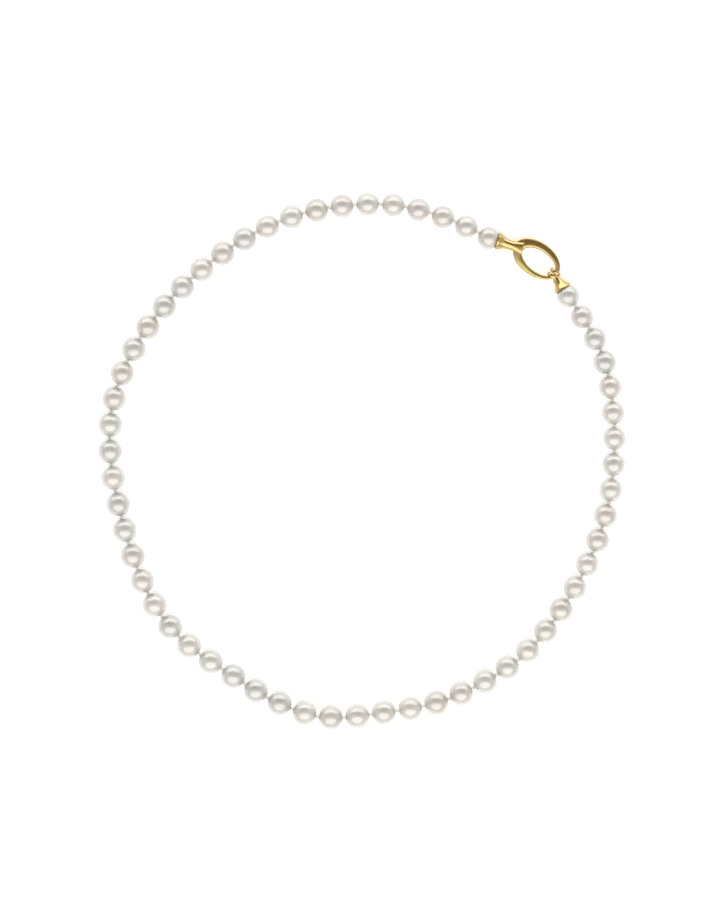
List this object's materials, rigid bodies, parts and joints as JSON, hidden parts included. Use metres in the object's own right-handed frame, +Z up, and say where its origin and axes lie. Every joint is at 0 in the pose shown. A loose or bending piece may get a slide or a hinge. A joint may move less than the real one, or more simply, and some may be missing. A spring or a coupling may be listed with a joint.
{
  "type": "pearl necklace",
  "caption": "Single strand of round, knotted, slightly graduated pearls closed in a loop by an oval gold push-gate ring that holds a double bail.",
  "frame": {"origin": "on the table, under the middle of the closed loop's box", "axes": "+Z up out of the table, +Y towards the top of the loop as laid out, +X to its right; the clasp is at upper right"},
  "size_m": [0.1516, 0.1544, 0.007],
  "materials": {
    "pearl": "nacre: soft mirror gloss over a cream-white body with faint pink and green overtones",
    "gold": "polished yellow gold with fine wear scratches",
    "silk": "twisted cream silk thread, matt"
  },
  "bodies": {
    "clasp": {"clasp_ring": "gold", "gate_pin": "gold", "gate_spring": "gold", "left_cup": "gold", "left_silk_end": "silk"},
    "gate": {"clasp_gate": "gold"},
    "stretch_01": {"pearl_01": "pearl"},
    "stretch_02_03": {"pearls_02_03": "pearl"},
    "stretch_04_05": {"pearls_04_05": "pearl"},
    "stretch_06_07": {"pearls_06_07": "pearl"},
    "stretch_08_09": {"pearls_08_09": "pearl"},
    "stretch_10_11": {"pearls_10_11": "pearl"},
    "stretch_12_13": {"pearls_12_13": "pearl"},
    "stretch_14_15": {"pearls_14_15": "pearl"},
    "stretch_16_17": {"pearls_16_17": "pearl"},
    "stretch_18_19": {"pearls_18_19": "pearl"},
    "stretch_20_21": {"pearls_20_21": "pearl"},
    "stretch_22_23": {"pearls_22_23": "pearl"},
    "stretch_24_25": {"pearls_24_25": "pearl"},
    "stretch_26_27": {"pearls_26_27": "pearl"},
    "stretch_28_29": {"pearls_28_29": "pearl"},
    "stretch_30_31": {"pearls_30_31": "pearl"},
    "stretch_32_33": {"pearls_32_33": "pearl"},
    "stretch_34_35": {"pearls_34_35": "pearl"},
    "stretch_36_37": {"pearls_36_37": "pearl"},
    "stretch_38_39": {"pearls_38_39": "pearl"},
    "stretch_40_41": {"pearls_40_41": "pearl"},
    "stretch_42_43": {"pearls_42_43": "pearl"},
    "stretch_44_45": {"pearls_44_45": "pearl"},
    "stretch_46_47": {"pearls_46_47": "pearl"},
    "stretch_48_49": {"pearls_48_49": "pearl"},
    "stretch_50_51": {"pearls_50_51": "pearl"},
    "stretch_52_53": {"pearls_52_53": "pearl"},
    "stretch_54_55": {"pearls_54_55": "pearl"},
    "stretch_56_57": {"pearls_56_57": "pearl"},
    "stretch_58": {"pearl_58": "pearl"},
    "catch": {"right_cup": "gold", "right_silk_end": "silk"}
  },
  "joints": [
    {"name": "gate_push", "type": "hinge", "parent": "clasp", "child": "gate", "pos_m": [0.04443, 0.06008, 0.00325], "axis": [0, 0, 1], "range_deg": [0, 20], "stiffness_Nm_per_rad": 0.02, "springref_deg": -8.59},
    {"name": "first_pearl_turn", "type": "hinge", "parent": "clasp", "child": "stretch_01", "pos_m": [0.03646, 0.06406, 0.00325], "axis": [0, 0, 1], "range_deg": [-17.89, 17.89]},
    {"name": "bend_before_02", "type": "hinge", "parent": "stretch_01", "child": "stretch_02_03", "pos_m": [0.03324, 0.06573, 0.00328], "axis": [0, 0, 1], "range_deg": [-6.31, 6.31]},
    {"name": "bend_before_04", "type": "hinge", "parent": "stretch_02_03", "child": "stretch_04_05", "pos_m": [0.01977, 0.07129, 0.0033], "axis": [0, 0, 1], "range_deg": [-9.26, 9.26]},
    {"name": "bend_before_06", "type": "hinge", "parent": "stretch_04_05", "child": "stretch_06_07", "pos_m": [0.00535, 0.07391, 0.00333], "axis": [0, 0, 1], "range_deg": [-7.16, 7.16]},
    {"name": "bend_before_08", "type": "hinge", "parent": "stretch_06_07", "child": "stretch_08_09", "pos_m": [-0.00939, 0.07281, 0.00335], "axis": [0, 0, 1], "range_deg": [-3.71, 3.71]},
    {"name": "bend_before_10", "type": "hinge", "parent": "stretch_08_09", "child": "stretch_10_11", "pos_m": [-0.02374, 0.06891, 0.00337], "axis": [0, 0, 1], "range_deg": [-0.92, 0.92]},
    {"name": "bend_before_12", "type": "hinge", "parent": "stretch_10_11", "child": "stretch_12_13", "pos_m": [-0.03696, 0.06188, 0.0034], "axis": [0, 0, 1], "range_deg": [-5.88, 5.88]},
    {"name": "bend_before_14", "type": "hinge", "parent": "stretch_12_13", "child": "stretch_14_15", "pos_m": [-0.04886, 0.05265, 0.00342], "axis": [0, 0, 1], "range_deg": [-9.94, 9.94]},
    {"name": "bend_before_16", "type": "hinge", "parent": "stretch_14_15", "child": "stretch_16_17", "pos_m": [-0.05923, 0.04163, 0.00343], "axis": [0, 0, 1], "range_deg": [-11.91, 11.91]},
    {"name": "bend_before_18", "type": "hinge", "parent": "stretch_16_17", "child": "stretch_18_19", "pos_m": [-0.0674, 0.02881, 0.00345], "axis": [0, 0, 1], "range_deg": [-11.36, 11.36]},
    {"name": "bend_before_20", "type": "hinge", "parent": "stretch_18_19", "child": "stretch_20_21", "pos_m": [-0.07205, 0.0143, 0.00346], "axis": [0, 0, 1], "range_deg": [-8.78, 8.78]},
    {"name": "bend_before_22", "type": "hinge", "parent": "stretch_20_21", "child": "stretch_22_23", "pos_m": [-0.07208, -0.00101, 0.00347], "axis": [0, 0, 1], "range_deg": [-5.08, 5.08]},
    {"name": "bend_before_24", "type": "hinge", "parent": "stretch_22_23", "child": "stretch_24_25", "pos_m": [-0.06913, -0.0161, 0.00348], "axis": [0, 0, 1], "range_deg": [-1.03, 1.03]},
    {"name": "bend_before_26", "type": "hinge", "parent": "stretch_24_25", "child": "stretch_26_27", "pos_m": [-0.06456, -0.03081, 0.00349], "axis": [0, 0, 1], "range_deg": [-3.07, 3.07]},
    {"name": "bend_before_28", "type": "hinge", "parent": "stretch_26_27", "child": "stretch_28_29", "pos_m": [-0.05756, -0.04453, 0.00349], "axis": [0, 0, 1], "range_deg": [-6.98, 6.98]},
    {"name": "bend_before_30", "type": "hinge", "parent": "stretch_28_29", "child": "stretch_30_31", "pos_m": [-0.04672, -0.05545, 0.00349], "axis": [0, 0, 1], "range_deg": [-10.26, 10.26]},
    {"name": "strand_bend", "type": "hinge", "parent": "stretch_30_31", "child": "stretch_32_33", "pos_m": [-0.03376, -0.06386, 0.00349], "axis": [0, 0, 1], "range_deg": [-12, 12]},
    {"name": "bend_before_34", "type": "hinge", "parent": "stretch_32_33", "child": "stretch_34_35", "pos_m": [-0.02017, -0.07112, 0.00348], "axis": [0, 0, 1], "range_deg": [-11.34, 11.34]},
    {"name": "bend_before_36", "type": "hinge", "parent": "stretch_34_35", "child": "stretch_36_37", "pos_m": [-0.00512, -0.07383, 0.00347], "axis": [0, 0, 1], "range_deg": [-8.25, 8.25]},
    {"name": "bend_before_38", "type": "hinge", "parent": "stretch_36_37", "child": "stretch_38_39", "pos_m": [0.01011, -0.07167, 0.00346], "axis": [0, 0, 1], "range_deg": [-3.42, 3.42]},
    {"name": "bend_before_40", "type": "hinge", "parent": "stretch_38_39", "child": "stretch_40_41", "pos_m": [0.02503, -0.06828, 0.00345], "axis": [0, 0, 1], "range_deg": [-1.9, 1.9]},
    {"name": "bend_before_42", "type": "hinge", "parent": "stretch_40_41", "child": "stretch_42_43", "pos_m": [0.03866, -0.06138, 0.00343], "axis": [0, 0, 1], "range_deg": [-6.47, 6.47]},
    {"name": "bend_before_44", "type": "hinge", "parent": "stretch_42_43", "child": "stretch_44_45", "pos_m": [0.0504, -0.05178, 0.00342], "axis": [0, 0, 1], "range_deg": [-9.64, 9.64]},
    {"name": "bend_before_46", "type": "hinge", "parent": "stretch_44_45", "child": "stretch_46_47", "pos_m": [0.05929, -0.03952, 0.0034], "axis": [0, 0, 1], "range_deg": [-11.16, 11.16]},
    {"name": "bend_before_48", "type": "hinge", "parent": "stretch_46_47", "child": "stretch_48_49", "pos_m": [0.06631, -0.0262, 0.00337], "axis": [0, 0, 1], "range_deg": [-10.91, 10.91]},
    {"name": "bend_before_50", "type": "hinge", "parent": "stretch_48_49", "child": "stretch_50_51", "pos_m": [0.07089, -0.01195, 0.00335], "axis": [0, 0, 1], "range_deg": [-8.9, 8.9]},
    {"name": "bend_before_52", "type": "hinge", "parent": "stretch_50_51", "child": "stretch_52_53", "pos_m": [0.07253, 0.00284, 0.00333], "axis": [0, 0, 1], "range_deg": [-5.37, 5.37]},
    {"name": "bend_before_54", "type": "hinge", "parent": "stretch_52_53", "child": "stretch_54_55", "pos_m": [0.07181, 0.01761, 0.0033], "axis": [0, 0, 1], "range_deg": [-0.93, 0.93]},
    {"name": "bend_before_56", "type": "hinge", "parent": "stretch_54_55", "child": "stretch_56_57", "pos_m": [0.06862, 0.03192, 0.00328], "axis": [0, 0, 1], "range_deg": [-3.5, 3.5]},
    {"name": "bend_before_58", "type": "hinge", "parent": "stretch_56_57", "child": "stretch_58", "pos_m": [0.06123, 0.04449, 0.00325], "axis": [0, 0, 1], "range_deg": [-4.07, 4.07]},
    {"name": "catch_turn", "type": "hinge", "parent": "stretch_58", "child": "catch", "pos_m": [0.05916, 0.04746, 0.00325], "axis": [0, 0, 1], "range_deg": [-2.95, 2.95]}
  ],
  "couplings": [
    {"joint": "first_pearl_turn", "follows": "strand_bend", "ratio": 1.4903},
    {"joint": "bend_before_02", "follows": "strand_bend", "ratio": 0.52492},
    {"joint": "bend_before_04", "follows": "strand_bend", "ratio": 0.77064},
    {"joint": "bend_before_06", "follows": "strand_bend", "ratio": 0.59567},
    {"joint": "bend_before_08", "follows": "strand_bend", "ratio": 0.30806},
    {"joint": "bend_before_10", "follows": "strand_bend", "ratio": -0.075694},
    {"joint": "bend_before_12", "follows": "strand_bend", "ratio": -0.48953},
    {"joint": "bend_before_14", "follows": "strand_bend", "ratio": -0.82745},
    {"joint": "bend_before_16", "follows": "strand_bend", "ratio": -0.99159},
    {"joint": "bend_before_18", "follows": "strand_bend", "ratio": -0.94575},
    {"joint": "bend_before_20", "follows": "strand_bend", "ratio": -0.73061},
    {"joint": "bend_before_22", "follows": "strand_bend", "ratio": -0.42293},
    {"joint": "bend_before_24", "follows": "strand_bend", "ratio": -0.084692},
    {"joint": "bend_before_26", "follows": "strand_bend", "ratio": 0.2552},
    {"joint": "bend_before_28", "follows": "strand_bend", "ratio": 0.58059},
    {"joint": "bend_before_30", "follows": "strand_bend", "ratio": 0.85401},
    {"joint": "bend_before_34", "follows": "strand_bend", "ratio": 0.94446},
    {"joint": "bend_before_36", "follows": "strand_bend", "ratio": 0.68666},
    {"joint": "bend_before_38", "follows": "strand_bend", "ratio": 0.28443},
    {"joint": "bend_before_40", "follows": "strand_bend", "ratio": -0.15733},
    {"joint": "bend_before_42", "follows": "strand_bend", "ratio": -0.53842},
    {"joint": "bend_before_44", "follows": "strand_bend", "ratio": -0.80273},
    {"joint": "bend_before_46", "follows": "strand_bend", "ratio": -0.9295},
    {"joint": "bend_before_48", "follows": "strand_bend", "ratio": -0.90856},
    {"joint": "bend_before_50", "follows": "strand_bend", "ratio": -0.74113},
    {"joint": "bend_before_52", "follows": "strand_bend", "ratio": -0.44642},
    {"joint": "bend_before_54", "follows": "strand_bend", "ratio": -0.076513},
    {"joint": "bend_before_56", "follows": "strand_bend", "ratio": 0.29072},
    {"joint": "bend_before_58", "follows": "strand_bend", "ratio": 0.33832},
    {"joint": "catch_turn", "follows": "strand_bend", "ratio": 0.24479}
  ]
}
